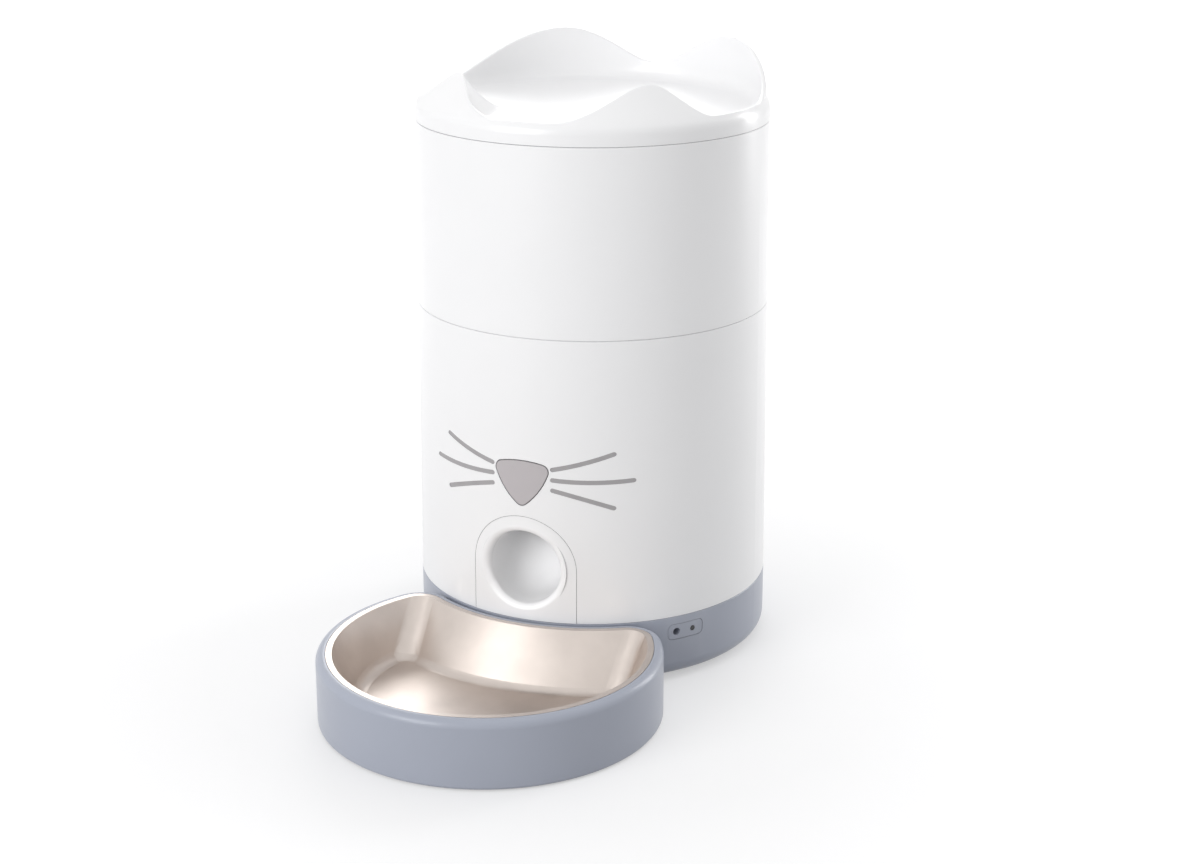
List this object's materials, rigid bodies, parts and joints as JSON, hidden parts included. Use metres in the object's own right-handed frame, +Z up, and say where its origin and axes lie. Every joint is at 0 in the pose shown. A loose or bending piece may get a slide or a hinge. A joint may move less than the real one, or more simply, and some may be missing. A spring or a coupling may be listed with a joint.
{
  "type": "smart pet feeder",
  "caption": "Round pet feeder with a lift-off tank and cat-ear lid, a motor-turned portion rotor, a curved chute above a slide-out crescent tray with a steel dish, and a nose-shaped button.",
  "frame": {"origin": "centre of the footprint on the floor that the object stands on", "axes": "+Z up, -Y towards the front with the tray, +X to the right of someone facing the feeder, where the power socket is"},
  "size_m": [0.21, 0.35, 0.352],
  "materials": {
    "white_gloss": "smooth glossy moulded ABS",
    "grey_satin": "satin blue-grey moulded ABS",
    "nose_grey": "semi-gloss warm grey plastic",
    "whisker_grey": "satin warm grey inlay",
    "dish_steel": "satin stainless steel",
    "tank_plastic": "satin food grade plastic",
    "drum_plastic": "fine textured plastic",
    "rotor_plastic": "satin plastic",
    "soft_grey": "soft matt rubber",
    "silicone": "translucent silicone",
    "screw_zinc": "zinc plated",
    "contact_nickel": "nickel plated spring steel",
    "board_green": "solder mask on glass fibre",
    "black_plastic": "fine grained dark plastic",
    "button_dark": "satin dark plastic",
    "radio_tin": "tinned shield on a small board",
    "capacitor_can": "sleeved aluminium can",
    "lamp_lens": "small lamp in a pale housing",
    "shaft_steel": "ground steel",
    "bush_bronze": "sintered bronze",
    "gear_nylon": "white acetal",
    "pinion_brass": "cut brass",
    "motor_can": "plated steel can"
  },
  "bodies": {
    "housing": {"base_housing": "grey_satin", "rubber_feet": "soft_grey", "base_screws": "screw_zinc", "battery_contacts": "contact_nickel", "main_board": "board_green", "board_screws": "screw_zinc", "radio_module": "radio_tin", "board_capacitors": "capacitor_can", "board_connectors": "black_plastic", "buzzer": "black_plastic", "port_plate": "grey_satin", "port_board": "board_green", "dc_jack": "black_plastic", "reset_switch": "black_plastic", "lower_shell": "white_gloss", "whisker_inlays": "whisker_grey", "nose_board": "board_green", "nose_board_screws": "screw_zinc", "nose_switch": "black_plastic", "nose_lamps": "lamp_lens", "chute_cover": "white_gloss", "food_chute": "tank_plastic", "drop_sensors": "board_green", "dispenser_drum": "drum_plastic", "drum_screws": "screw_zinc", "shaft_bush_lower": "bush_bronze", "shaft_bush_upper": "bush_bronze", "compound_pin": "shaft_steel", "gear_motor": "motor_can", "motor_screws": "screw_zinc", "gearbox_case": "drum_plastic", "gearbox_cover": "drum_plastic", "gearbox_screws": "screw_zinc"},
    "battery_door": {"battery_door": "grey_satin"},
    "rotor": {"food_rotor": "rotor_plastic", "output_shaft": "shaft_steel", "output_gear": "gear_nylon"},
    "compound": {"compound_gear": "gear_nylon"},
    "pinion": {"motor_pinion": "pinion_brass", "motor_shaft": "shaft_steel"},
    "nose": {"nose_button": "nose_grey"},
    "reset": {"reset_button": "button_dark"},
    "tank": {"upper_shell": "white_gloss", "food_tank": "tank_plastic"},
    "lid": {"lid_shell": "white_gloss", "lid_liner": "tank_plastic", "lid_seal": "silicone", "liner_screws": "screw_zinc"},
    "desiccant": {"desiccant_cover": "tank_plastic"},
    "tray": {"feeding_tray": "grey_satin", "tray_pads": "soft_grey"},
    "dish": {"steel_dish": "dish_steel"}
  },
  "joints": [
    {"name": "nose_press", "type": "slide", "parent": "housing", "child": "nose", "axis": [0, 1, 0], "range_m": [0, 0.0012], "stiffness_N_per_m": 800},
    {"name": "reset_press", "type": "slide", "parent": "housing", "child": "reset", "axis": [-0.8059, 0.592, 0], "range_m": [0, 0.0008], "stiffness_N_per_m": 600},
    {"name": "battery_door_hinge", "type": "hinge", "parent": "housing", "child": "battery_door", "pos_m": [0, 0.057, 0.00325], "axis": [1, 0, 0], "range_deg": [0, 95]},
    {"name": "rotor_spin", "type": "hinge", "parent": "housing", "child": "rotor", "pos_m": [0, 0.07, 0.13], "axis": [0, 0, 1], "continuous": true},
    {"name": "compound_spin", "type": "hinge", "parent": "housing", "child": "compound", "pos_m": [0, 0.1004, 0.12], "axis": [0, 0, 1], "continuous": true},
    {"name": "pinion_spin", "type": "hinge", "parent": "housing", "child": "pinion", "pos_m": [0, 0.126, 0.115], "axis": [0, 0, 1], "continuous": true},
    {"name": "tank_lift", "type": "slide", "parent": "housing", "child": "tank", "axis": [0, 0, 1], "range_m": [0, 0.12]},
    {"name": "lid_lift", "type": "slide", "parent": "tank", "child": "lid", "axis": [0, 0, 1], "range_m": [0, 0.08]},
    {"name": "desiccant_pull", "type": "slide", "parent": "lid", "child": "desiccant", "axis": [0, 0, -1], "range_m": [0, 0.02]},
    {"name": "tray_slide", "type": "slide", "parent": "housing", "child": "tray", "axis": [0, -1, 0], "range_m": [0, 0.06]},
    {"name": "dish_lift", "type": "slide", "parent": "tray", "child": "dish", "axis": [0, 0, 1], "range_m": [0, 0.05]}
  ],
  "couplings": [
    {"joint": "compound_spin", "follows": "rotor_spin", "ratio": -3.75},
    {"joint": "pinion_spin", "follows": "rotor_spin", "ratio": 11.25}
  ]
}
